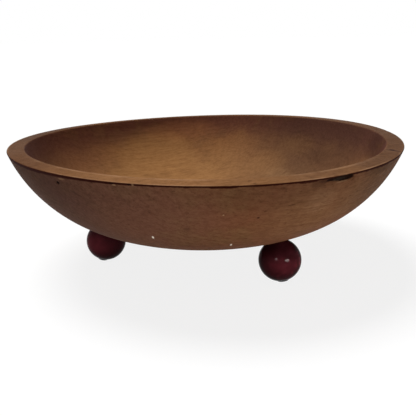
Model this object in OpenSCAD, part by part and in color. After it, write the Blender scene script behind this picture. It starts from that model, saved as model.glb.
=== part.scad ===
// A turned wooden bowl on three ball feet. Each foot sits square to the bowl's curved underside
// and is held by a glued dowel. The origin is on the floor, under the centre of the bowl,
// and one foot points forward, along -Y.

/* [Bowl] */
// Diameter across the outer edge of the rim, before the edge is eased
rim_d = 330; // [290:1:390]
// Depth of the outside, from the rim's outer edge down to the base
bowl_depth = 72.6; // [62:0.2:88]
// Slope of the outside just under the rim, in degrees from level
rim_slope = 70; // [62:1:78]
// Slope of the outside where it meets the level base, in degrees
base_slope = 6; // [3:0.5:8]
// Thickness of the wall, square to its faces
wall_t = 13.2; // [10:0.2:18]
// How much thicker than the wall the floor is
floor_extra = 1; // [0.4:0.2:4]
// Height of the rim's inner edge above its outer edge
rim_rise = 1; // [0.4:0.1:3]
// Easing of the rim's outer edge
outer_ease = 1; // [0.4:0.1:2.5]
// Easing of the rim's inner edge
inner_ease = 1.6; // [0.4:0.1:3]

/* [Feet] */
// Diameter of a ball foot
ball_d = 34.2; // [26:0.2:44]
// Lean of a foot from upright, in degrees: it is seated where the wall has this slope
foot_lean = 13.6; // [10:0.2:22]
// Diameter of the flat seat on top of a ball
seat_d = 8; // [7:0.5:14]
// Depth of the flat that is cut into the bowl for a seat
seat_depth = 0.15; // [0.1:0.05:0.6]
// Diameter of the turned pip at the lower end of a ball
pip_d = 8; // [5:0.5:12]
// Height of the pip beyond the ball
pip_h = 1; // [0.6:0.1:2]
// Depth that the lowest side of a pip is worn level
pip_wear = 0.8; // [0.3:0.1:1.2]

/* [Dowels] */
// Diameter of a dowel
dowel_d = 6; // [4:0.5:6.5]
// Depth that a dowel reaches into the bowl
dowel_in_bowl = 8; // [5:0.5:9]
// Depth that a dowel reaches into a foot
dowel_in_foot = 14; // [8:0.5:20]
// Chamfer on the ends of a dowel
dowel_chamfer = 0.6; // [0.3:0.1:1.2]
// Gap for glue round a dowel and round a seat
glue_gap = 0.1; // [0.05:0.05:0.3]

/* [Hidden] */
$fn = 180;

// Places of the three feet round the bowl
front_angle = -90;
right_angle = front_angle + 120;
left_angle = right_angle + 120;

// How far a cutting shape runs past the surface that it cuts
overrun = 4;

wood_colour = "#7b5439";
paint_colour = "#4b161c";
dowel_colour = "#c7a578";

rim_r = rim_d / 2;
ball_r = ball_d / 2;
seat_r = seat_d / 2;
pip_r = pip_d / 2;
hole_d = dowel_d + 2 * glue_gap;
floor_t = wall_t + floor_extra;

// Direction from the centre of the wall's arc to the point where the wall has this slope
function toward(slope) = [sin(slope), -cos(slope)];
function unit(v) = v / norm(v);

// The outside of the wall is one arc from the rim down to the base, and the inside runs
// round the same centre
wall_r = bowl_depth / (cos(base_slope) - cos(rim_slope));
hollow_r = wall_r - wall_t;

// Heights over the floor, from the worn pips up
pip_end = ball_r + pip_h;
ball_rise = sqrt(ball_r * ball_r - seat_r * seat_r);
ball_z = pip_end * cos(foot_lean) + pip_r * sin(foot_lean) - pip_wear;
seat_z = ball_z + ball_rise * cos(foot_lean);
seat_rise = wall_r * (cos(base_slope) - cos(foot_lean));
base_z = seat_z - seat_depth * cos(foot_lean) - seat_rise;
floor_z = base_z + floor_t;
rim_z = base_z + bowl_depth;
rim_top = rim_z + rim_rise;

// Points in the bowl's section, as [distance from the axis, height]
outer_edge = [rim_r, rim_z];
wall_c = outer_edge - wall_r * toward(rim_slope);
inner_slope = acos((wall_c.y - rim_top) / hollow_r);
inner_edge = wall_c + hollow_r * toward(inner_slope);
rim_along = unit(outer_edge - inner_edge);

// Distances of a seat and of a ball's centre from the bowl's axis
seat_place = wall_c.x + (wall_r - seat_depth) * sin(foot_lean);
ball_place = seat_place + ball_rise * sin(foot_lean);

// The filled section inside an arc round the wall's centre, from one height to another
module arc_body(r, low, high) {
    intersection() {
        union() {
            translate(wall_c) circle(r);
            square(wall_c);
        }
        translate([0, low]) square([rim_r + overrun, high - low]);
    }
}

// What is cut off a corner, where the faces run away from it along a and b
module eased(corner, a, b, size) {
    p = corner + size * a;
    q = corner + size * b;
    past = size * unit(q - p);
    polygon([p - past, q + past, corner - size * (a + b)]);
}

module bowl_section() {
    rim_out = outer_edge + overrun * rim_along;
    rim_in = inner_edge - overrun * rim_along;
    lift = [0, 2 * overrun];
    difference() {
        arc_body(wall_r, base_z, rim_top + overrun);
        arc_body(hollow_r, floor_z, rim_top + 2 * overrun);
        polygon([rim_out, rim_in, rim_in + lift, rim_out + lift]);
        eased(outer_edge, -rim_along, -[cos(rim_slope), sin(rim_slope)], outer_ease);
        eased(inner_edge, rim_along, -[cos(inner_slope), sin(inner_slope)], inner_ease);
    }
}

// Stands its children on a foot's seat, with their +Z away from the bowl
module at_seat(angle) {
    rotate([0, 0, angle]) translate([seat_place, 0, seat_z]) rotate([0, 180 - foot_lean, 0]) children();
}

// The flat seat and the blind hole that are cut into the bowl for one foot
module seat_cut() {
    cylinder(d = seat_d + 2 * glue_gap, h = seat_depth + overrun);
    translate([0, 0, -dowel_in_bowl - glue_gap]) cylinder(d = hole_d, h = dowel_in_bowl + overrun);
}

// A turned ball with its flat seat, its pip and the blind hole for its dowel
module ball_turning() {
    difference() {
        translate([0, 0, ball_rise]) {
            sphere(d = ball_d);
            cylinder(d = pip_d, h = pip_end);
        }
        translate([0, 0, -ball_d]) cylinder(d = ball_d, h = ball_d);
        translate([0, 0, -overrun]) cylinder(d = hole_d, h = dowel_in_foot + glue_gap + overrun);
    }
}

module foot(angle) {
    color(paint_colour) difference() {
        at_seat(angle) ball_turning();
        rotate([0, 0, angle]) translate([ball_place, 0, -ball_d]) cylinder(d = ball_d, h = ball_d);
    }
}

module dowel(angle) {
    r = dowel_d / 2;
    color(dowel_colour) at_seat(angle) rotate_extrude() polygon([
        [0, -dowel_in_bowl], [r - dowel_chamfer, -dowel_in_bowl], [r, dowel_chamfer - dowel_in_bowl],
        [r, dowel_in_foot - dowel_chamfer], [r - dowel_chamfer, dowel_in_foot], [0, dowel_in_foot]
    ]);
}

module bowl() {
    color(wood_colour) difference() {
        rotate_extrude() bowl_section();
        for (angle = [front_angle, left_angle, right_angle]) at_seat(angle) seat_cut();
    }
}

module front_foot() { foot(front_angle); }
module left_foot() { foot(left_angle); }
module right_foot() { foot(right_angle); }
module front_dowel() { dowel(front_angle); }
module left_dowel() { dowel(left_angle); }
module right_dowel() { dowel(right_angle); }

bowl();
front_foot();
left_foot();
right_foot();
front_dowel();
left_dowel();
right_dowel();
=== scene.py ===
# A turned wooden dough bowl on three painted ball feet
import math
import bpy
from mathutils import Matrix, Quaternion, Vector


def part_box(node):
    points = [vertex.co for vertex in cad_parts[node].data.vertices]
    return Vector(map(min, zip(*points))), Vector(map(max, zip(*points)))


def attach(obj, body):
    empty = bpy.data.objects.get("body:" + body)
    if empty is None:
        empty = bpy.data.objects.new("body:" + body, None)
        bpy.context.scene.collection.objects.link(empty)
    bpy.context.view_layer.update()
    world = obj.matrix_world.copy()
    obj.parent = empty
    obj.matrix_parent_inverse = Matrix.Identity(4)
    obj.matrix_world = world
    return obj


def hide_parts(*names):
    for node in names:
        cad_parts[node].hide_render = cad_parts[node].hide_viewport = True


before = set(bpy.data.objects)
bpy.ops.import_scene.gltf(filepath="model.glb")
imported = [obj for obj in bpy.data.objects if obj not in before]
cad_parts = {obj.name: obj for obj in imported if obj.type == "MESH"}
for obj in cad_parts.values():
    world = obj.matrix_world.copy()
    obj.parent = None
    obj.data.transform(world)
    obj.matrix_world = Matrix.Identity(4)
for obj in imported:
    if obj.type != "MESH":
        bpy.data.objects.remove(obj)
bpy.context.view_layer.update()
print("frame:", len(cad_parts), "solids loaded")

mm = 0.001
weldGap = 0.004 * mm  # points of a turning that lie nearer than this become one


class Wire:  # a node's output that can be used in sums
    def __init__(self, tree, socket):
        self.tree = tree
        self.socket = socket

    def __add__(self, other):
        return calc(self.tree, "ADD", self, other)

    def __radd__(self, other):
        return calc(self.tree, "ADD", other, self)

    def __sub__(self, other):
        return calc(self.tree, "SUBTRACT", self, other)

    def __rsub__(self, other):
        return calc(self.tree, "SUBTRACT", other, self)

    def __mul__(self, other):
        return calc(self.tree, "MULTIPLY", self, other)

    def __rmul__(self, other):
        return calc(self.tree, "MULTIPLY", other, self)

    def __truediv__(self, other):
        return calc(self.tree, "DIVIDE", self, other)

    def __pow__(self, other):
        return calc(self.tree, "POWER", self, other)


def plug(tree, value, socket):
    if isinstance(value, Wire):
        tree.links.new(value.socket, socket)
    else:
        socket.default_value = value


def addNode(tree, kind, inputs=None, **settings):
    node = tree.nodes.new(kind)
    for name, value in settings.items():
        setattr(node, name, value)
    for key, value in (inputs or {}).items():
        plug(tree, value, node.inputs[key])
    return node


def calc(tree, operation, *values, clamp=False):
    node = addNode(tree, "ShaderNodeMath", operation=operation, use_clamp=clamp)
    for socket, value in zip(node.inputs, values):
        plug(tree, value, socket)
    return Wire(tree, node.outputs[0])


def sine(angle):
    return calc(angle.tree, "SINE", angle)


def cosine(angle):
    return calc(angle.tree, "COSINE", angle)


def larger(a, b):
    return calc(a.tree, "MAXIMUM", a, b)


def flatLength(x, y):  # of a vector with these two parts
    return calc(x.tree, "SQRT", x * x + y * y)


def combine(tree, x, y, z):
    return Wire(tree, addNode(tree, "ShaderNodeCombineXYZ", {"X": x, "Y": y, "Z": z}).outputs[0])


def split(vector):
    node = addNode(vector.tree, "ShaderNodeSeparateXYZ", {0: vector})
    return [Wire(vector.tree, socket) for socket in node.outputs]


def onCircle(angle, radius, height):  # angles turn from -Y towards +X
    return combine(angle.tree, radius * sine(angle), radius * cosine(angle) * -1.0, height)


def fade(value, low, high):  # 0 at low, 1 at high, smooth between
    node = addNode(value.tree, "ShaderNodeMapRange", interpolation_type="SMOOTHSTEP")
    for key, number in zip(("Value", "From Min", "From Max"), (value, low, high)):
        plug(value.tree, number, node.inputs[key])
    return Wire(value.tree, node.outputs["Result"])


def band(value, start, full, wane, end):  # 1 from full to wane, 0 before start and after end
    return fade(value, start, full) * (1.0 - fade(value, wane, end))


def noise(vector, scale, detail=2.0, roughness=0.5):
    node = addNode(vector.tree, "ShaderNodeTexNoise", {
        "Vector": vector, "Scale": scale, "Detail": detail, "Roughness": roughness})
    return Wire(vector.tree, node.outputs[0])


def stretch(vector, amounts):
    node = addNode(vector.tree, "ShaderNodeVectorMath", {0: vector, 1: amounts}, operation="MULTIPLY")
    return Wire(vector.tree, node.outputs[0])


def blend(factor, first, second, mode="MIX"):
    tree = factor.tree
    node = addNode(tree, "ShaderNodeMix", data_type="RGBA", blend_type=mode)
    for place, value in ((0, factor), (6, first), (7, second)):  # 6 and 7 are its sockets for colours
        plug(tree, value, node.inputs[place])
    return Wire(tree, node.outputs[2])


def colour(red, green, blue):  # from 0 to 255, as seen on a screen
    def linear(value):
        share = value / 255
        return share / 12.92 if share <= 0.04045 else ((share + 0.055) / 1.055) ** 2.4
    return (linear(red), linear(green), linear(blue), 1.0)


class Recipe:  # a Geometry Nodes tree with the sizes that its modifier gets
    def __init__(self, name):
        self.tree = bpy.data.node_groups.new(name, "GeometryNodeTree")
        self.tree.interface.new_socket("Geometry", in_out="OUTPUT", socket_type="NodeSocketGeometry")
        self.entry = self.tree.nodes.new("NodeGroupInput")
        self.sizes = {}

    def size(self, label, value):
        kind = "NodeSocketInt" if isinstance(value, int) else "NodeSocketFloat"
        socket = self.tree.interface.new_socket(label, in_out="INPUT", socket_type=kind)
        self.sizes[socket.identifier] = value
        return Wire(self.tree, self.entry.outputs[label])

    def position(self):
        return Wire(self.tree, self.tree.nodes.new("GeometryNodeInputPosition").outputs[0])

    def step(self, kind, geometry, inputs=None, **settings):
        node = addNode(self.tree, kind, inputs, **settings)
        plug(self.tree, geometry, node.inputs["Mesh" if "Mesh" in node.inputs else "Geometry"])
        return Wire(self.tree, node.outputs[0])

    def store(self, geometry, name, value):
        return self.step("GeometryNodeStoreNamedAttribute", geometry, {"Name": name, "Value": value},
                         data_type="FLOAT", domain="POINT")

    def close(self, geometry):  # joins the seam and the poles of a turning
        geometry = self.step("GeometryNodeMergeByDistance", geometry, {"Distance": weldGap})
        return self.step("GeometryNodeSetShadeSmooth", geometry)

    def finish(self, geometry, material):
        geometry = self.step("GeometryNodeRealizeInstances", geometry)
        geometry = self.step("GeometryNodeSetMaterial", geometry, {"Material": material})
        ending = self.tree.nodes.new("NodeGroupOutput")
        plug(self.tree, geometry, ending.inputs[0])

    def make(self, name):
        piece = bpy.data.objects.new(name, bpy.data.meshes.new(name))
        bpy.context.scene.collection.objects.link(piece)
        modifier = piece.modifiers.new("turning", "NODES")
        modifier.node_group = self.tree
        for identifier, value in self.sizes.items():
            modifier[identifier] = value
        graph = bpy.context.evaluated_depsgraph_get()
        mesh = bpy.data.meshes.new_from_object(piece.evaluated_get(graph), preserve_all_data_layers=True,
                                               depsgraph=graph)
        piece.modifiers.remove(modifier)
        piece.data = mesh
        print(name + ":", len(mesh.vertices), "points,", len(mesh.polygons), "faces")
        return piece


# Runs of an outline. Where a run needs fewer columns, thin is the number that are joined into one.
def line(name, length, rows, thin=1):
    return {"name": name, "length": length, "turn": 0.0, "rows": rows, "thin": thin}


def arc(name, size, turn, rows, thin=1):
    return {"name": name, "length": size * abs(turn), "turn": turn, "rows": rows, "thin": thin}


# Lays the runs of an outline end to end, starting at the axis, and turns them round it
def turnOutline(recipe, runs, startHeight, columns):
    tree = recipe.tree
    stepsAround = recipe.size("Steps Around", columns)
    rowCounts = [recipe.size(run["name"] + " Rows", run["rows"]) for run in runs]
    allRows = sum(rowCounts[1:], rowCounts[0])
    grid = addNode(tree, "GeometryNodeMeshGrid", {
        "Size X": 1.0, "Size Y": 1.0, "Vertices X": stepsAround + 1, "Vertices Y": allRows + 1})
    across, up = split(recipe.position())[:2]
    column = calc(tree, "ROUND", (across + 0.5) * stepsAround)
    row = calc(tree, "ROUND", (up + 0.5) * allRows)

    heading = recipe.size("Start Heading", 0.0)
    height = recipe.size("Start Height", startHeight)
    facing, radius, along, thin, firstRow = heading, 0.0, 0.0, 0.0, 0.0
    shares = {}
    for run, rows in zip(runs, rowCounts):
        share = calc(tree, "DIVIDE", row - firstRow, rows, clamp=True)
        length = recipe.size(run["name"] + " Length", run["length"])
        if run["turn"]:
            turn = recipe.size(run["name"] + " Turn", run["turn"])
            swept = heading + turn * share
            radius = radius + length / turn * (sine(swept) - sine(heading))
            height = height + length / turn * (cosine(heading) - cosine(swept))
            facing = facing + turn * share
            heading = heading + turn
        else:
            radius = radius + length * share * cosine(heading)
            height = height + length * share * sine(heading)
        along = along + length * share
        begun = calc(tree, "GREATER_THAN", row, firstRow + 0.5)
        ended = calc(tree, "GREATER_THAN", row, firstRow + rows + 0.5)
        thin = thin + (begun - ended) * float(run["thin"])
        firstRow = firstRow + rows
        shares[run["name"]] = share
    thin = larger(thin, 1.0)
    joined = calc(tree, "FLOOR", (column + 0.01) / thin) * thin  # a little over, so that whole numbers stay
    angle = calc(tree, "MODULO", joined, stepsAround) / stepsAround * math.tau
    outline = {"angle": angle, "radius": radius, "height": height, "facing": facing, "along": along}
    return Wire(tree, grid.outputs["Mesh"]), outline, shares


def swollen(outline, swell):  # the outline's points, moved square to its surface
    radius = outline["radius"] + swell * sine(outline["facing"])
    height = outline["height"] - swell * cosine(outline["facing"])
    return radius, height


# Camera, at the photograph's place. Angles turn from the front foot, -Y, towards +X. In every function that
# makes something, s is its dictionary.
viewSettings = {
    "turn": math.radians(-39.42), "distance": 521.4 * mm, "height": 192.3 * mm,
    "aimHeight": 41.4 * mm, "aimRight": 1.1 * mm, "roll": math.radians(-1.02), "lens": 52.38,
    "nearest": 10 * mm,
}


def outward(turn):
    return Vector((math.sin(turn), -math.cos(turn), 0))


def aimAlong(item, direction, roll):  # points a camera or a lamp, turned by roll about its own axis
    item.rotation_mode = "QUATERNION"
    item.rotation_quaternion = direction.to_track_quat("-Z", "Y") @ Quaternion((0, 0, 1), roll)


def makeCamera(s):
    eye = s["distance"] * outward(s["turn"]) + Vector((0, 0, s["height"]))
    right = Vector((math.cos(s["turn"]), math.sin(s["turn"]), 0))
    aim = s["aimRight"] * right + Vector((0, 0, s["aimHeight"]))
    data = bpy.data.cameras.new("photographView")
    data.lens = s["lens"]
    data.clip_start = s["nearest"]
    camera = bpy.data.objects.new("photographView", data)
    camera.location = eye
    aimAlong(camera, aim - eye, s["roll"])
    bpy.context.scene.collection.objects.link(camera)
    bpy.context.scene.camera = camera


makeCamera(viewSettings)
print("camera: placed")


# Bowl: one turned piece, a little warped by drying, with a worn and nicked rim
bowlSizes = {
    "rimRadius": 165 * mm, "depth": 72.6 * mm, "rimSlope": math.radians(70), "baseSlope": math.radians(6),
    "wall": 13.2 * mm, "floor": 14.2 * mm, "rimRise": 1 * mm,
    "outerEase": 0.7 * mm, "innerEase": 1.5 * mm, "baseRound": 40 * mm, "floorRound": 50 * mm, "lip": 14 * mm,
    "columns": 1080,
    "warp": 1.6 * mm, "warpTurn": math.radians(-102.2), "warpPower": 3.0,
    "ripple": 0.12 * mm, "rippleScale": 22.0,
    "nickDepth": 0.4 * mm, "nickScale": 110.0, "nickDetail": 3.0, "nickLimits": (0.6, 0.74),
    "nickMiddle": 0.1 * mm, "nickFull": 0.2 * mm, "nickReach": 0.9 * mm,
    "dentRough": 0.6, "dentRoughScale": 420.0, "dentSlope": 0.75,
}
# Dents with their angle from the front foot in degrees, and their distance below the rim's outer edge,
# half length, half height and depth in millimetres
bowlDents = {
    "gouge": (-5.8, 2.4, 10.5, 2.9, 2.4),
    "gougeEnd": (-9.7, 2.2, 6.0, 1.3, 0.8),
    "pit": (-77.0, 7.1, 1.6, 1.4, 1.0),
    "edgeChipRight": (64.0, 1.4, 2.6, 1.3, 0.7),
    "edgeChipBack": (143.0, 1.2, 2.2, 1.2, 0.6),
    "edgeChipLeft": (-151.0, 1.4, 1.8, 1.1, 0.5),
}


def bowlRuns(s, baseZ):
    rimZ = baseZ + s["depth"]
    wallR = s["depth"] / (math.cos(s["baseSlope"]) - math.cos(s["rimSlope"]))
    hollowR = wallR - s["wall"]
    outerEdge = Vector((s["rimRadius"], rimZ))
    centre = outerEdge - wallR * Vector((math.sin(s["rimSlope"]), -math.cos(s["rimSlope"])))
    innerSlope = math.acos((centre.y - rimZ - s["rimRise"]) / hollowR)
    innerEdge = centre + hollowR * Vector((math.sin(innerSlope), -math.cos(innerSlope)))
    rimOut = (outerEdge - innerEdge).normalized()
    rimIn = Vector((rimOut.y, -rimOut.x))  # into the wood, square to the rim
    rimTilt = math.atan2(-rimOut.y, rimOut.x)

    def rounding(size, reach):  # centre of a rounding that touches the rim and the wall
        drop = rimIn.dot(outerEdge - centre) + size
        return drop * rimIn + math.sqrt(reach ** 2 - drop ** 2) * rimOut

    def levelReach(size, reach, level):  # how far out a level face goes before its rounding starts
        return math.sqrt((reach - size) ** 2 - (level + size - centre.y) ** 2)

    outer = rounding(s["outerEase"], wallR - s["outerEase"])
    inner = rounding(s["innerEase"], hollowR + s["innerEase"])
    outerTop = math.atan2(outer.x, -outer.y)
    innerTop = math.atan2(inner.x, -inner.y)
    baseOut = levelReach(s["baseRound"], wallR, baseZ)
    floorOut = levelReach(s["floorRound"], hollowR, baseZ + s["floor"])
    baseTurn = math.asin(baseOut / (wallR - s["baseRound"]))
    floorTurn = math.asin(floorOut / (hollowR - s["floorRound"]))
    outerLip = s["lip"] / wallR
    innerLip = s["lip"] / hollowR
    return [
        line("Base", centre.x + baseOut, 10, 8),
        arc("Base Round", s["baseRound"], baseTurn, 3, 4),
        arc("Outer Wall", wallR, outerTop - outerLip - baseTurn, 34, 2),
        arc("Outer Lip", wallR, outerLip, 15),
        arc("Outer Ease", s["outerEase"], math.pi - rimTilt - outerTop, 7),
        line("Rim", (outer - inner).dot(rimOut), 10),
        arc("Inner Ease", s["innerEase"], innerTop + rimTilt, 7),
        arc("Inner Lip", hollowR, -innerLip, 9),
        arc("Inner Wall", hollowR, innerLip + floorTurn - innerTop, 26, 2),
        arc("Floor Round", s["floorRound"], -floorTurn, 5, 4),
        line("Floor", centre.x + floorOut, 12, 8),
    ]


def makeBowl(s, material):
    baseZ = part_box("bowl")[0].z
    runs = bowlRuns(s, baseZ)
    lengths = {run["name"]: run["length"] for run in runs}
    recipe = Recipe("turnedBowl")
    tree = recipe.tree
    geometry, outline, shares = turnOutline(recipe, runs, baseZ, s["columns"])
    angle, radius = outline["angle"], outline["radius"]

    # Distances along the outline from the middles of the rim's two edges: before an edge they are negative
    easeStart = sum(lengths[name] for name in ("Base", "Base Round", "Outer Wall", "Outer Lip"))
    outerEdge = easeStart + lengths["Outer Ease"] / 2
    innerEdge = outerEdge + lengths["Outer Ease"] / 2 + lengths["Rim"] + lengths["Inner Ease"] / 2
    fromEdge = outline["along"] - recipe.size("Edge Place", outerEdge)
    fromInner = outline["along"] - recipe.size("Inner Edge Place", innerEdge)

    place = onCircle(angle, radius, outline["height"])
    ripple = noise(place, recipe.size("Ripple Scale", s["rippleScale"])) - 0.5
    ripple = ripple * recipe.size("Ripple", s["ripple"])
    nickNoise = noise(place, recipe.size("Nick Scale", s["nickScale"]), s["nickDetail"])
    offEdge = calc(tree, "ABSOLUTE", fromEdge - s["nickMiddle"])
    nearEdge = 1.0 - fade(offEdge, s["nickFull"], recipe.size("Nick Reach", s["nickReach"]))
    nicked = fade(nickNoise, *s["nickLimits"]) * nearEdge

    rimRadius = recipe.size("Rim Radius", s["rimRadius"])
    rough = (noise(place, s["dentRoughScale"]) - 0.5) * s["dentRough"]
    dented, dents = 0.0, 0.0
    for name, (turn, below, halfLength, halfHeight, depth) in bowlDents.items():
        away = angle - recipe.size(name + " Angle", math.radians(turn % 360))
        above = fromEdge + recipe.size(name + " Below", below * mm)
        sideways = away * rimRadius / recipe.size(name + " Half Length", halfLength * mm)
        upward = above / recipe.size(name + " Half Height", halfHeight * mm)
        hollow = fade(1.0 - sideways * sideways - upward * upward + rough, 0.0, s["dentSlope"])
        dents = dents + hollow * recipe.size(name + " Depth", depth * mm)
        dented = larger(hollow, dented)
    swell = ripple - nicked * recipe.size("Nick Depth", s["nickDepth"]) - dents

    # The warp is a saddle, so it rises and falls twice in a turn
    warped = cosine((angle - recipe.size("Warp Angle", s["warpTurn"])) * 2.0) * recipe.size("Warp", s["warp"])
    warped = warped * (radius / rimRadius) ** s["warpPower"]
    newRadius, newHeight = swollen(outline, swell)
    attributes = {
        "inside": shares["Inner Ease"], "rimTop": shares["Outer Ease"] * (1.0 - shares["Inner Ease"]),
        "fromEdge": fromEdge, "fromInner": fromInner, "nicked": nicked, "dented": dented,
    }
    for name, value in attributes.items():
        geometry = recipe.store(geometry, name, value)
    geometry = recipe.step("GeometryNodeSetPosition", geometry, {
        "Position": onCircle(angle, newRadius, newHeight + warped)})
    recipe.finish(recipe.close(geometry), material)
    bowl = recipe.make("turnedBowl")
    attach(bowl, "root")
    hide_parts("bowl")


# Feet: turned balls with a small pip at the lower end, worn level where they stand
footSizes = {
    "ballRadius": 17.1 * mm, "lean": math.radians(13.6),
    "centreRadius": 90.483 * mm, "centreHeight": 17.733 * mm,  # where the solids have a ball's centre
    "seatRadius": 4 * mm, "seatRound": 0.2 * mm,
    "pipReach": 5.5 * mm, "pipRound": 1.5 * mm, "pipGroove": 2 * mm,
    "columns": 160,
    "unevenness": 0.02 * mm, "unevenScale": 60.0, "unevenDetail": 1.0,
}
# Direction of each foot in degrees, from +X towards +Y, and the height of its pip
footPlaces = {"front_foot": (-90.0, 0.2 * mm), "left_foot": (150.0, 0.7 * mm), "right_foot": (30.0, 0.5 * mm)}


def footRuns(s, pipHeight):
    ballR, pipEnd = s["ballRadius"], s["ballRadius"] + pipHeight
    bothR = s["pipRound"] + s["pipGroove"]
    grooveR = ballR + s["pipGroove"]
    ballTurn = math.asin(s["pipReach"] / ballR)
    pipTurn = math.acos((grooveR * math.cos(ballTurn) - pipEnd + s["pipRound"]) / bothR)
    pipFlat = grooveR * math.sin(ballTurn) - bothR * math.sin(pipTurn)
    seatZ = math.sqrt(ballR ** 2 - s["seatRadius"] ** 2)
    seatIn = math.sqrt((ballR - s["seatRound"]) ** 2 - (seatZ - s["seatRound"]) ** 2)
    seatTurn = math.pi - math.atan2(seatIn, seatZ - s["seatRound"])
    return -pipEnd, [
        line("Pip End", pipFlat, 6),
        arc("Pip Round", s["pipRound"], pipTurn, 6),
        arc("Pip Groove", s["pipGroove"], ballTurn - pipTurn, 6),
        arc("Ball", ballR, seatTurn - ballTurn, 70),
        arc("Seat Round", s["seatRound"], math.pi - seatTurn, 3),
        line("Seat", seatIn, 5),
    ]


def makeFoot(s, node, turn, pipHeight, material):
    start, runs = footRuns(s, pipHeight)
    recipe = Recipe(node + "Turning")
    tree = recipe.tree
    geometry, outline, shares = turnOutline(recipe, runs, start, s["columns"])
    angle, ball = outline["angle"], shares["Ball"]
    seed = recipe.size("Seed", math.radians(turn))
    place = onCircle(angle, outline["radius"], outline["height"])
    shifted = combine(tree, *[axis + seed for axis in split(place)])
    uneven = noise(shifted, recipe.size("Uneven Scale", s["unevenScale"]), s["unevenDetail"]) - 0.5
    middle = ball * (1.0 - ball) * 4.0  # 1 half way along the ball, 0 at its ends
    swell = uneven * middle * recipe.size("Unevenness", s["unevenness"])
    position = onCircle(angle, *swollen(outline, swell))
    geometry = recipe.step("GeometryNodeSetPosition", geometry, {"Position": position})
    geometry = recipe.close(geometry)

    spin = recipe.size("Foot Angle", math.radians(turn))
    out = recipe.size("Centre Radius", s["centreRadius"])
    centreHeight = recipe.size("Centre Height", s["centreHeight"])
    geometry = recipe.step("GeometryNodeTransform", geometry, {
        "Rotation": combine(tree, 0.0, recipe.size("Lean", -s["lean"]), spin),
        "Translation": combine(tree, out * cosine(spin), out * sine(spin), centreHeight)})
    x, y, z = split(recipe.position())
    worn = combine(tree, x, y, larger(z, 0.0))  # the pip's lowest side is worn level
    geometry = recipe.step("GeometryNodeSetPosition", geometry, {"Position": worn})
    recipe.finish(geometry, material)
    foot = recipe.make(node + "Ball")
    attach(foot, "root")
    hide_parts(node)
    return foot


def newMaterial(name):
    material = bpy.data.materials.new(name)
    material.use_nodes = True
    tree = material.node_tree
    return material, tree, tree.nodes["Principled BSDF"]


def ownPlace(tree):
    return Wire(tree, tree.nodes.new("ShaderNodeTexCoord").outputs["Object"])


def ownAttribute(tree, name):
    return Wire(tree, addNode(tree, "ShaderNodeAttribute", attribute_name=name).outputs["Fac"])


def addBump(tree, shader, height, distance, strength):
    node = addNode(tree, "ShaderNodeBump", {"Height": height, "Distance": distance, "Strength": strength})
    tree.links.new(node.outputs["Normal"], shader.inputs["Normal"])


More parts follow.
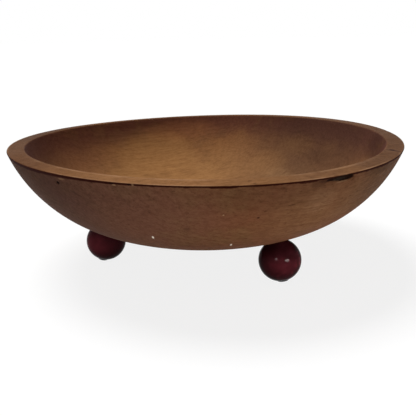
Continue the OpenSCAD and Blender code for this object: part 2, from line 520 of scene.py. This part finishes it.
# Wood: brown side grain, darker end grain, a golden inside, a paler rim and a grimy line under the rim's
# edge. Limits are where a pattern starts to show and where it shows in full.
woodFinish = {
    "tones": {
        "outside": colour(137, 92, 64), "outsideRed": colour(135, 87, 60),
        "outsideOlive": colour(140, 103, 69), "inside": colour(161, 116, 72),
        "insideMiddle": colour(154, 107, 67), "insideUpper": colour(120, 75, 58),
        "insideCloud": colour(144, 104, 68), "rim": colour(114, 80, 55), "rimWornAndLit": colour(151, 107, 68),
        # grime is dirt in the small marks and painted shade in several broad tones; hollow is dirt and
        # painted shade in dents and chips
        "grimeAndShade": colour(40, 20, 15), "hollow": colour(22, 8, 6), "edgeLine": colour(42, 7, 3),
        "bare": colour(176, 136, 102), "darkerBrown": colour(108, 75, 60), "ash": colour(60, 51, 42),
        "amber": colour(126, 80, 42), "copper": colour(190, 126, 80), "pale": colour(205, 158, 108),
        "glow": colour(172, 124, 76), "greyWood": colour(126, 90, 77), "mossy": colour(122, 92, 64),
        "fleck": colour(255, 244, 226),
    },
    # Shades that darken the tone under them. The one for the outside towards the rim is painted shade; the
    # others belong to the grain
    "endGrainShade": (0.55, 0.56, 0.62, 1.0), "streakShade": (0.62, 0.56, 0.52, 1.0),
    "poreShade": (0.4, 0.35, 0.33, 1.0), "upperOutsideShade": (0.78, 0.78, 0.8, 1.0),
    # Clouds and patches: scale, detail and roughness
    "clouds": (13.0, 3.0, 0.5), "patches": (45.0, 4.0, 0.6),
    "redLimits": (0.4, 0.62), "oliveLimits": (0.48, 0.66), "oliveOfPatches": 0.6, "olive": 0.6,
    "middleLevel": (54 * mm, 78 * mm), "upperLevel": (74 * mm, 98 * mm), "levelWaver": 26 * mm,
    "cloudLimits": (0.5, 0.7), "cloud": 0.4,
    # The rim is paler towards the front and the back: partly wear, partly a painted pool of light
    "rimWornLitTurn": math.radians(-48.13), "rimWornLitSwing": 0.3, "rimWornLitLimits": (0.4, 0.8),
    "toneRagged": 0.5, "toneReach": 1.3,
    # Growth rings and end grain. Patterns in the grain have a scale along it, one across it, detail and
    # roughness.
    "grainTurn": math.radians(12.2), "pithAcross": 35 * mm, "pithDown": 190 * mm, "ringGap": 6.5 * mm,
    "wobble": (5.0, 18.0, 2.0, 0.5), "ringWobble": 40 * mm,
    "lateWood": (0.3, 0.95, 0.95, 1.0), "lateLimits": (0.35, 0.65), "late": 0.3,
    "endReach": 40 * mm, "endWaver": 0.5, "endLimits": (0.25, 1.0), "endOnRim": 0.5,
    # Pores, specks and mottles have one strength for the outside and another for the inside
    "fibres": (55.0, 620.0, 3.0, 0.65), "fibreLimits": (0.35, 0.75), "fibre": 0.55,
    "pores": (210.0, 2300.0, 1.0, 0.5), "poreLimits": (0.6, 0.72), "pore": (0.55, 0.15),
    "specks": (300.0, 620.0, 1.0, 0.5), "speckLimits": (0.62, 0.74), "speck": (0.4, 0.08),
    "mottles": (210.0, 330.0, 4.0, 0.7), "mottleLimits": (0.35, 0.68), "mottle": (0.5, 0.3),
    # Where the painted shade on the outside starts and where it is full, measured from the rim's outer edge
    "upperOutsideShadeLimits": (-56 * mm, 6 * mm),
    # Grime under the rim's edge: its limits below and above, and what changes its lower side
    "grimeLow": (-1.75 * mm, -1.05 * mm), "grimeHigh": (-0.15 * mm, 0.35 * mm), "grimeDark": 0.95,
    "grimeNoise": (150.0, 3.0), "grimeNoiseLimits": (0.45, 0.7), "grimeNoiseMiddle": 0.2,
    "grimeWaver": 0.65 * mm, "thicker": 0.9 * mm, "thinner": 0.3 * mm,
    # Bare wood along the rim's two edges, and a painted highlight on the inner edge as well: where a line
    # starts, is full, wanes and ends, past the edge
    "wornLine": (0.1 * mm, 0.5 * mm, 0.8 * mm, 1.7 * mm), "worn": 0.58, "wornInnerAndHighlight": 0.6, "nick": 0.5,
    "wornNoise": (60.0, 3.0), "wornNoiseLimits": (0.35, 0.6),
    "innerLine": (-3.6 * mm, -2.2 * mm, -0.5 * mm, 1.0 * mm), "innerBareAndHighlight": 0.3,
    "innerNoise": (40.0, 3.0), "innerNoiseLimits": (0.3, 0.6),
    # Stretches of the rim: direction, half width, and half width of the part that shows in full, in degrees
    "thickGrime": (-100.0, 53.1, 18.2), "thinGrime": (-45.0, 45.6, 18.2), "leftPlain": (-94.0, 21.6, 11.5),
    "rightPlain": (38.0, 36.9, 16.3), "frontPlain": (-28.0, 12.6, 8.1), "brightInner": (-39.0, 66.4, 31.8),
    "rightPlainShare": 0.65, "frontPlainShare": 0.8,
    # Dents are darkened with dirt and painted shade
    "dentLimits": (0.1, 0.5), "dentDirtAndShade": 0.95,
    "markNoise": (700.0, 2.0), "markRagged": 0.9, "markLimits": (0.2, 1.2),
    "roughness": 0.65, "roughPatches": 0.2, "roughPores": 0.1, "specular": 0.02,
    "toolLines": 1400.0, "bumpDepth": 0.1 * mm, "bump": 0.5,
    "fibreRelief": 0.5, "poreRelief": 0.6, "toolRelief": 0.25, "lateRelief": 0.15,
}
# Broad tones: angle from the front foot in degrees, height, half length and half height in millimetres, tone,
# strength and the side that they are on
broadTones = {
    "leftShade": (-96.0, 88.0, 78.0, 50.0, "grimeAndShade", 0.37, "outside"),
    "rightShade": (17.0, 88.0, 44.0, 30.0, "grimeAndShade", 0.3, "outside"),
    "olivePatch": (-10.0, 78.0, 45.0, 28.0, "outsideOlive", 0.4, "outside"),
    "middleShade": (-23.0, 95.0, 55.0, 15.0, "grimeAndShade", 0.16, "outside"),
    "palePatch": (-10.5, 84.0, 14.0, 11.0, "bare", 0.22, "outside"),
    "leftGrey": (-66.0, 80.0, 85.0, 45.0, "greyWood", 0.45, "outside"),
    "rightMoss": (9.0, 88.0, 40.0, 30.0, "mossy", 0.45, "outside"),
    # darkens the inside on the right
    "innerRightDarker": (82.0, 78.0, 102.0, 50.0, "darkerBrown", 0.46, "inside"),
    "innerLeftShade": (-152.0, 86.0, 54.0, 30.0, "insideUpper", 0.45, "inside"),
    # a painted pool of light, low on the far inside wall
    "innerLightPool": (165.0, 71.0, 46.0, 24.0, "glow", 0.75, "inside"),
    "innerPatch": (107.0, 63.0, 24.0, 12.0, "glow", 0.35, "inside"),
    "innerPatchHigh": (96.0, 80.0, 24.0, 11.0, "glow", 0.22, "inside"),
    "innerCopper": (151.0, 90.5, 46.0, 12.0, "copper", 0.28, "inside"),
    "floorPatch": (95.5, 54.3, 19.0, 5.0, "pale", 0.28, "inside"),
    "innerBlot": (81.0, 73.0, 15.0, 8.0, "grimeAndShade", 0.16, "inside"),
    "innerRightShade": (42.0, 98.0, 40.0, 16.0, "grimeAndShade", 0.5, "inside"),
    "backLeftRim": (-148.0, 105.5, 66.0, 20.0, "grimeAndShade", 0.46, "rim"),
    # painted shade on the right of the rim
    "rightRimShade": (26.0, 105.0, 100.0, 20.0, "grimeAndShade", 0.25, "rim"),
    "leftRim": (-88.0, 105.0, 60.0, 20.0, "amber", 0.34, "rim"),
    "farRim": (140.0, 105.0, 130.0, 20.0, "grimeAndShade", 0.48, "rim"),
    "frontRim": (-28.0, 104.0, 36.0, 20.0, "grimeAndShade", 0.2, "rim"),
    "rightEdgeShade": (9.0, 100.0, 24.0, 5.0, "grimeAndShade", 0.3, "outside"),
}
# Stains, chips and specks on the outside: angle from the front foot in degrees, height, half length and half
# height in millimetres, climb along the length, tone and strength
outsideMarks = {
    "gougeSmudge": (-11.8, 100.2, 5.5, 1.5, 0.0, "grimeAndShade", 0.55),
    "gougeGrey": (-7.2, 99.1, 8.0, 0.9, 0.0, "ash", 0.5),
    "gougeLip": (-6.3, 97.4, 6.5, 0.5, 0.06, "bare", 0.28),
    "edgeSmudge": (-13.6, 98.3, 6.5, 3.0, 0.0, "grimeAndShade", 0.34),
    "lowSmudge": (-11.8, 96.1, 3.0, 1.6, 0.0, "grimeAndShade", 0.25),
    "pitScuff": (-75.0, 101.6, 3.5, 0.9, 0.0, "bare", 0.28),
    "leftScratch": (-72.4, 92.1, 5.0, 1.1, -0.5, "grimeAndShade", 0.3),
    "shortDash": (-18.9, 84.9, 3.2, 0.6, 0.15, "grimeAndShade", 0.5),
    "smallSpot": (-26.8, 77.0, 1.2, 0.9, 0.0, "grimeAndShade", 0.85),
    "paleFleckLeft": (-55.5, 58.5, 0.9, 1.5, 0.6, "fleck", 1.0),
    "paleFleckRight": (-31.8, 49.9, 0.8, 1.4, 0.0, "fleck", 1.0),
    "paleSpeck": (-35.5, 81.0, 0.8, 0.6, 0.0, "bare", 0.7),
    "lowStain": (-44.6, 69.2, 3.5, 1.8, 0.0, "grimeAndShade", 0.24),
    "edgeGrime": (-16.4, 100.8, 8.0, 0.8, 0.0, "edgeLine", 0.8),
    "frontGrime": (-34.4, 101.4, 5.5, 0.7, 0.0, "edgeLine", 0.8),
    "leftGrime": (-60.5, 102.9, 1.9, 0.7, 0.0, "hollow", 0.8),
    "leftChip": (-60.0, 102.0, 1.5, 0.7, 0.0, "bare", 0.42),
    "chipGrime": (-56.4, 102.9, 1.2, 0.8, 0.0, "hollow", 0.8),
    "chipGap": (-55.5, 102.8, 0.9, 0.9, 0.0, "bare", 0.4),
    "backScuff": (118.0, 84.0, 7.0, 1.6, 0.3, "bare", 0.25),
    "sideStain": (62.0, 78.0, 9.0, 5.0, 0.2, "grimeAndShade", 0.2),
}
# Dark marks on the rim: angle from the front foot in degrees, distance from the axis, half length outwards
# and half width in millimetres, and strength
rimMarks = {
    "rimCrack": (25.3, 157.0, 2.8, 3.0, 0.85),
    "rimCrackTail": (25.0, 158.8, 6.0, 1.6, 0.85),
    "rimSpeckOne": (-29.5, 157.4, 1.2, 1.6, 0.5),
    "rimSpeckTwo": (-28.9, 162.6, 0.9, 1.3, 0.45),
    "rimDentBack": (141.0, 157.0, 1.4, 1.2, 0.85),
}


class WoodPoint:  # where a point of the bowl lies, and what the turning stored there
    def __init__(self, tree, s):
        self.tree = tree
        self.place = ownPlace(tree)
        x, y, self.z = split(self.place)
        self.angle = calc(tree, "ARCTAN2", x, y * -1.0)
        self.radius = flatLength(x, y)
        self.inside = ownAttribute(tree, "inside")
        self.rimTop = ownAttribute(tree, "rimTop")
        self.outside = (1.0 - self.inside) * (1.0 - self.rimTop)
        self.fromEdge = ownAttribute(tree, "fromEdge")
        self.fromInner = ownAttribute(tree, "fromInner")
        self.nicked = ownAttribute(tree, "nicked")
        self.dented = ownAttribute(tree, "dented")
        self.clouds = noise(self.place, *s["clouds"])
        self.patches = noise(self.place, *s["patches"])

    def bySide(self, outside, inside):  # one value outside and another inside
        return outside - (outside - inside) * self.inside

    def aside(self, turn):  # distance round the bowl from one direction
        return (self.angle - math.radians(turn)) * self.radius

    def near(self, turn, half, full):  # 1 round one direction, 0 away from it
        limits = [math.cos(math.radians(width)) for width in (half, full)]
        return fade(cosine(self.angle - math.radians(turn)), *limits)

    def spots(self, noiseSettings, limits):
        return fade(noise(self.place, *noiseSettings), *limits)


class WoodGrain:  # growth rings that come and go, end grain, and what runs along the grain
    def __init__(self, point, s):
        turned = {"Vector": point.place, "Rotation": (0, 0, s["grainTurn"])}
        grain = Wire(point.tree, addNode(point.tree, "ShaderNodeMapping", turned).outputs[0])
        along, across, up = split(grain)

        def alongGrain(alongScale, acrossScale, detail, roughness):
            return noise(stretch(grain, (alongScale, acrossScale, acrossScale)), 1.0, detail, roughness)

        wobble = (alongGrain(*s["wobble"]) - 0.5) * s["ringWobble"]
        ring = flatLength(across - s["pithAcross"], up + s["pithDown"]) + wobble
        yearRing = calc(point.tree, "FRACT", ring / s["ringGap"])
        self.lateWood = band(yearRing, *s["lateWood"]) * fade(point.patches, *s["lateLimits"])
        self.fibres = alongGrain(*s["fibres"])
        self.pores = fade(alongGrain(*s["pores"]), *s["poreLimits"])
        self.specks = fade(alongGrain(*s["specks"]), *s["speckLimits"])
        self.mottles = fade(alongGrain(*s["mottles"]), *s["mottleLimits"])
        ends = along * along / (point.radius * point.radius + s["endReach"] ** 2)
        self.ends = fade(ends + (point.clouds - 0.5) * s["endWaver"], *s["endLimits"])


def cleanTint(point, s):  # the two sides and the rim in their own tones, under the broad tones
    tones = s["tones"]
    outside = blend(fade(point.clouds, *s["redLimits"]), tones["outside"], tones["outsideRed"])
    mixed = point.patches * s["oliveOfPatches"] + point.clouds * (1.0 - s["oliveOfPatches"])
    outside = blend(fade(mixed, *s["oliveLimits"]) * s["olive"], outside, tones["outsideOlive"])
    level = point.z + (point.patches - 0.5) * s["levelWaver"]
    inside = blend(fade(level, *s["middleLevel"]), tones["inside"], tones["insideMiddle"])
    inside = blend(fade(level, *s["upperLevel"]), inside, tones["insideUpper"])
    inside = blend(fade(point.patches, *s["cloudLimits"]) * s["cloud"], inside, tones["insideCloud"])
    # the rim paler towards the front and the back: partly wear, partly a painted pool of light
    wearAndLight = cosine((point.angle - s["rimWornLitTurn"]) * 2.0) * s["rimWornLitSwing"] + point.clouds
    rim = blend(fade(wearAndLight, *s["rimWornLitLimits"]), tones["rim"], tones["rimWornAndLit"])
    tint = blend(point.rimTop, blend(point.inside, outside, inside), rim)
    sides = {"outside": point.outside, "inside": point.inside, "rim": point.rimTop}
    for turn, height, halfLength, halfHeight, tone, strength, side in broadTones.values():
        # Half the chord to the tone's middle, which unlike the arc has no seam at the back
        sideways = sine((point.angle - math.radians(turn)) * 0.5) * point.radius / (0.5 * halfLength * mm)
        upward = (point.z - height * mm) / (halfHeight * mm)
        away = sideways * sideways + upward * upward + (point.patches - 0.5) * s["toneRagged"]
        mark = 1.0 - fade(away, 0.0, s["toneReach"])
        tint = blend(mark * sides[side] * strength, tint, tones[tone])
    return tint


def grainTint(point, grain, s, tint):
    layers = [
        (grain.ends * (1.0 - s["endOnRim"] * point.rimTop), "endGrainShade"),
        (grain.lateWood * s["late"], "streakShade"),
        (fade(grain.fibres, *s["fibreLimits"]) * s["fibre"], "streakShade"),
        (grain.pores * point.bySide(*s["pore"]), "poreShade"),
        (grain.specks * point.bySide(*s["speck"]), "poreShade"),
        (grain.mottles * point.bySide(*s["mottle"]), "streakShade"),
        # painted shade on the outside, darker towards the rim
        (fade(point.fromEdge, *s["upperOutsideShadeLimits"]) * point.outside, "upperOutsideShade"),
    ]
    for amount, shade in layers:
        tint = blend(amount, tint, s[shade], "MULTIPLY")
    return tint


def edgeTint(point, s, tint):  # edges worn to bare wood, with a painted highlight on the inner edge, grime under the outer edge, and dents darkened with dirt and painted shade
    tones = s["tones"]
    frontPlain = point.near(*s["frontPlain"])
    worn = band(point.fromEdge, *s["wornLine"]) * point.spots(s["wornNoise"], s["wornNoiseLimits"])
    # the pale band on the inner edge's rounding is wear and a painted highlight
    worn = worn * (1.0 - point.near(*s["leftPlain"])) + point.inside * (1.0 - point.inside) * s["wornInnerAndHighlight"]
    worn = worn * (1.0 - s["rightPlainShare"] * point.near(*s["rightPlain"]))
    worn = worn * (1.0 - s["frontPlainShare"] * frontPlain)
    tint = blend(larger(worn * s["worn"], point.nicked * s["nick"]), tint, tones["bare"])
    # a pale line along the rim's inner edge: worn bare wood and a painted highlight
    inner = band(point.fromInner, *s["innerLine"]) * point.spots(s["innerNoise"], s["innerNoiseLimits"])
    inner = inner * point.near(*s["brightInner"]) * (1.0 - frontPlain)
    tint = blend(inner * s["innerBareAndHighlight"], tint, tones["bare"])

    waver = (point.spots(s["grimeNoise"], s["grimeNoiseLimits"]) - s["grimeNoiseMiddle"]) * s["grimeWaver"]
    thickness = point.near(*s["thickGrime"]) * s["thicker"] - point.near(*s["thinGrime"]) * s["thinner"]
    darkened = fade(point.fromEdge + waver + thickness, *s["grimeLow"])
    darkened = darkened * (1.0 - fade(point.fromEdge, *s["grimeHigh"]))
    tint = blend(darkened * s["grimeDark"], tint, tones["edgeLine"])
    # dents darkened with dirt and painted shade
    return blend(fade(point.dented, *s["dentLimits"]) * s["dentDirtAndShade"], tint, tones["hollow"])


def markTint(point, s, tint):  # single stains, chips and specks
    tones = s["tones"]
    ragged = (noise(point.place, *s["markNoise"]) - 0.5) * s["markRagged"]

    def mark(sideways, upward):
        return 1.0 - fade(sideways * sideways + upward * upward + ragged, *s["markLimits"])

    for turn, height, halfLength, halfHeight, climb, tone, strength in outsideMarks.values():
        sideways = point.aside(turn) / (halfLength * mm)
        upward = (point.z - height * mm) / (halfHeight * mm) - sideways * (climb * halfLength / halfHeight)
        tint = blend(mark(sideways, upward) * (1.0 - point.inside) * strength, tint, tones[tone])
    for turn, out, halfLength, halfWidth, strength in rimMarks.values():
        sideways = point.aside(turn) / (halfWidth * mm)
        outwards = (point.radius - out * mm) / (halfLength * mm)
        tint = blend(mark(sideways, outwards) * point.rimTop * strength, tint, tones["grimeAndShade"])
    return tint


def makeWood(s):
    material, tree, shader = newMaterial("bowlWood")
    point = WoodPoint(tree, s)
    grain = WoodGrain(point, s)
    tint = grainTint(point, grain, s, cleanTint(point, s))
    tint = markTint(point, s, edgeTint(point, s, tint))
    plug(tree, tint, shader.inputs["Base Color"])
    gloss = s["roughness"] + (point.patches - 0.5) * s["roughPatches"] + grain.pores * s["roughPores"]
    plug(tree, gloss, shader.inputs["Roughness"])
    plug(tree, s["specular"], shader.inputs["Specular IOR Level"])
    toolLines = noise(combine(tree, point.fromEdge * s["toolLines"], point.inside, point.rimTop), 1.0, 1.0)
    relief = grain.fibres * s["fibreRelief"] - grain.pores * s["poreRelief"]
    relief = relief + toolLines * s["toolRelief"] + grain.lateWood * s["lateRelief"]
    addBump(tree, shader, relief, s["bumpDepth"], s["bump"])
    return material


# Paint on the feet: dark maroon gloss, brushed on a little unevenly, with painted shade on the side towards
# the bowl's middle, round the seat and round the pip
paintFinish = {
    "colour": colour(102, 40, 47), "deep": colour(91, 35, 41), "darkened": colour(42, 15, 18),
    "clouds": (90.0, 3.0), "cloudLimits": (0.35, 0.65), "waver": 6 * mm,
    "bowlLimits": (78 * mm, 104 * mm), "innerSideShade": 0.7,
    "seatLimits": (16.5 * mm, 30.5 * mm), "seatShade": 0.75,
    "pipLimits": (1.5 * mm, 20 * mm), "pipShade": 0.95,
    "roughness": 0.09, "roughNoise": (260.0, 3.0), "roughWaver": 0.05, "specular": 0.01,
    "bumpNoise": (210.0, 1.0), "bumpDepth": 0.1 * mm, "bump": 0.02,
}


def makePaint(s):
    material, tree, shader = newMaterial("footPaint")
    place = ownPlace(tree)
    x, y, z = split(place)
    clouds = noise(place, *s["clouds"])
    height = z + (clouds - 0.5) * s["waver"]
    tint = blend(fade(clouds, *s["cloudLimits"]), s["colour"], s["deep"])
    # painted shade on each ball: on its side towards the bowl's middle, towards the seat under the bowl and
    # towards the pip
    tint = blend((1.0 - fade(flatLength(x, y), *s["bowlLimits"])) * s["innerSideShade"], tint, s["darkened"])
    tint = blend(fade(height, *s["seatLimits"]) * s["seatShade"], tint, s["darkened"])
    tint = blend((1.0 - fade(height, *s["pipLimits"])) * s["pipShade"], tint, s["darkened"])
    plug(tree, tint, shader.inputs["Base Color"])
    gloss = s["roughness"] + (noise(place, *s["roughNoise"]) - 0.5) * s["roughWaver"]
    plug(tree, gloss, shader.inputs["Roughness"])
    plug(tree, s["specular"], shader.inputs["Specular IOR Level"])
    addBump(tree, shader, noise(place, *s["bumpNoise"]), s["bumpDepth"], s["bump"])
    return material


# Dowels: bare pale hardwood, hidden in their holes
dowelFinish = {
    "light": colour(199, 165, 120), "dark": colour(168, 130, 88), "roughness": 0.65,
    "fibreStretch": (1400.0, 1400.0, 120.0), "fibreDetail": 3.0, "fibreLimits": (0.3, 0.7),
    "bumpDepth": 0.1 * mm, "bump": 0.5,
}


def makeDowelWood(s):
    material, tree, shader = newMaterial("dowelWood")
    fibres = noise(stretch(ownPlace(tree), s["fibreStretch"]), 1.0, s["fibreDetail"])
    tint = blend(fade(fibres, *s["fibreLimits"]), s["light"], s["dark"])
    plug(tree, tint, shader.inputs["Base Color"])
    plug(tree, s["roughness"], shader.inputs["Roughness"])
    addBump(tree, shader, fibres, s["bumpDepth"], s["bump"])
    return material


makeBowl(bowlSizes, makeWood(woodFinish))
paint = makePaint(paintFinish)
feet = {}
for node, (turn, pipHeight) in footPlaces.items():
    feet[node] = makeFoot(footSizes, node, turn, pipHeight, paint)
dowelWood = makeDowelWood(dowelFinish)
for node in ("front_dowel", "left_dowel", "right_dowel"):
    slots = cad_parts[node].data.materials
    slots.clear()
    slots.append(dowelWood)
print("dowels: finished")


# Studio: a pale floor, a white surround, soft light from above and low lamps
studioSettings = {
    "floorSize": 30.0, "floorDrop": 0.2 * mm, "floorGlow": 0.845,
    "floorShade": (0.72, 0.72, 0.71, 1.0), "floorSeen": (0.17, 0.17, 0.17, 1.0),
    "surround": (1.0, 1.0, 1.0, 1.0), "ambient": 0.12,
    "skyTurn": -125.0, "skyRise": 70.0, "skyDistance": 3.0, "skyLevel": 1.0, "skyWidth": 30.0,
}
# Low lamps: turn from the camera's direction and elevation in degrees, distance, width and height in metres,
# roll in degrees, power in watts, spread in degrees, the node that the lamp points at and whether it shows in
# that node's gloss alone
lamps = {
    "lowFill": (24.0, -1.0, 1.3, 0.6, 0.12, 0.0, 1.8, 170.0, "bowl", False),
    "footFill": (26.0, 0.0, 0.35, 0.1, 0.03, 0.0, 0.014, 40.0, "front_foot", False),
    "leftFootFill": (-40.0, 1.0, 0.35, 0.1, 0.03, 0.0, 0.007, 40.0, "left_foot", False),
    "leftGlint": (-26.0, 22.0, 0.2, 0.042, 0.042, 0.0, 0.062, 80.0, "front_foot", True),
    "rightGlint": (30.0, 14.3, 0.2, 0.07, 0.038, -13.0, 0.46, 80.0, "front_foot", True),
}


def seenRay(tree):  # 1 for rays that show the surroundings
    path = tree.nodes.new("ShaderNodeLightPath")
    seen = [Wire(tree, path.outputs[n]) for n in ("Is Camera Ray", "Is Glossy Ray", "Is Transmission Ray")]
    return larger(larger(seen[0], seen[1]), seen[2])


def makeFloor(s):
    half = s["floorSize"] / 2
    corners = [(-half, -half), (half, -half), (half, half), (-half, half)]
    mesh = bpy.data.meshes.new("studioFloor")
    mesh.from_pydata([(x, y, -s["floorDrop"]) for x, y in corners], [], [(0, 1, 2, 3)])
    floor = bpy.data.objects.new("studioFloor", mesh)
    bpy.context.scene.collection.objects.link(floor)
    material = bpy.data.materials.new("studioFloor")
    material.use_nodes = True
    tree = material.node_tree
    tree.nodes.clear()
    seen = seenRay(tree)
    lit = addNode(tree, "ShaderNodeBsdfDiffuse", {"Color": blend(seen, s["floorShade"], s["floorSeen"])})
    glow = addNode(tree, "ShaderNodeEmission", {"Strength": seen * s["floorGlow"]})
    both = tree.nodes.new("ShaderNodeAddShader")
    ending = tree.nodes.new("ShaderNodeOutputMaterial")
    tree.links.new(lit.outputs[0], both.inputs[0])
    tree.links.new(glow.outputs[0], both.inputs[1])
    tree.links.new(both.outputs[0], ending.inputs["Surface"])
    mesh.materials.append(material)


def makeSurround(s):
    world = bpy.data.worlds.new("studioSurround")
    world.use_nodes = True
    tree = world.node_tree
    seen = seenRay(tree)
    back = tree.nodes["Background"]
    plug(tree, s["surround"], back.inputs["Color"])
    plug(tree, seen * (1.0 - s["ambient"]) + s["ambient"], back.inputs["Strength"])
    bpy.context.scene.world = world


def placeLamp(name, data, aim, turn, elevation, distance, roll=0.0):
    lamp = bpy.data.objects.new(name, data)
    rise = math.radians(elevation)
    side = outward(viewSettings["turn"] + math.radians(turn))
    away = math.cos(rise) * side + Vector((0, 0, math.sin(rise)))
    lamp.location = aim + distance * away
    aimAlong(lamp, -away, math.radians(roll))
    lamp.visible_camera = False
    bpy.context.scene.collection.objects.link(lamp)
    return lamp


def makeSky(s):  # wide light from above, even all over the floor
    data = bpy.data.lights.new("softSky", "SUN")
    data.energy = s["skyLevel"] * math.pi
    data.angle = math.radians(s["skyWidth"])
    placeLamp("softSky", data, Vector((0, 0, 0)), s["skyTurn"], s["skyRise"], s["skyDistance"])


def makeLamp(name, turn, elevation, distance, width, height, roll, power, spread, node, glintOnly):
    data = bpy.data.lights.new(name, "AREA")
    data.shape = "ELLIPSE"
    data.size = width
    data.size_y = height
    data.energy = power
    data.spread = math.radians(spread)
    low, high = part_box(node)
    lamp = placeLamp(name, data, (low + high) / 2, turn, elevation, distance, roll)
    lamp.visible_glossy = glintOnly
    lamp.visible_diffuse = not glintOnly
    if glintOnly:
        lit = bpy.data.collections.new(name + "Reach")
        lit.objects.link(feet[node])
        lamp.light_linking.receiver_collection = lit


makeFloor(studioSettings)
makeSurround(studioSettings)
makeSky(studioSettings)
for name, values in lamps.items():
    makeLamp(name, *values)
bpy.context.scene.view_settings.view_transform = "Standard"
print("studio: lit by the sky and", len(lamps), "low lamps")
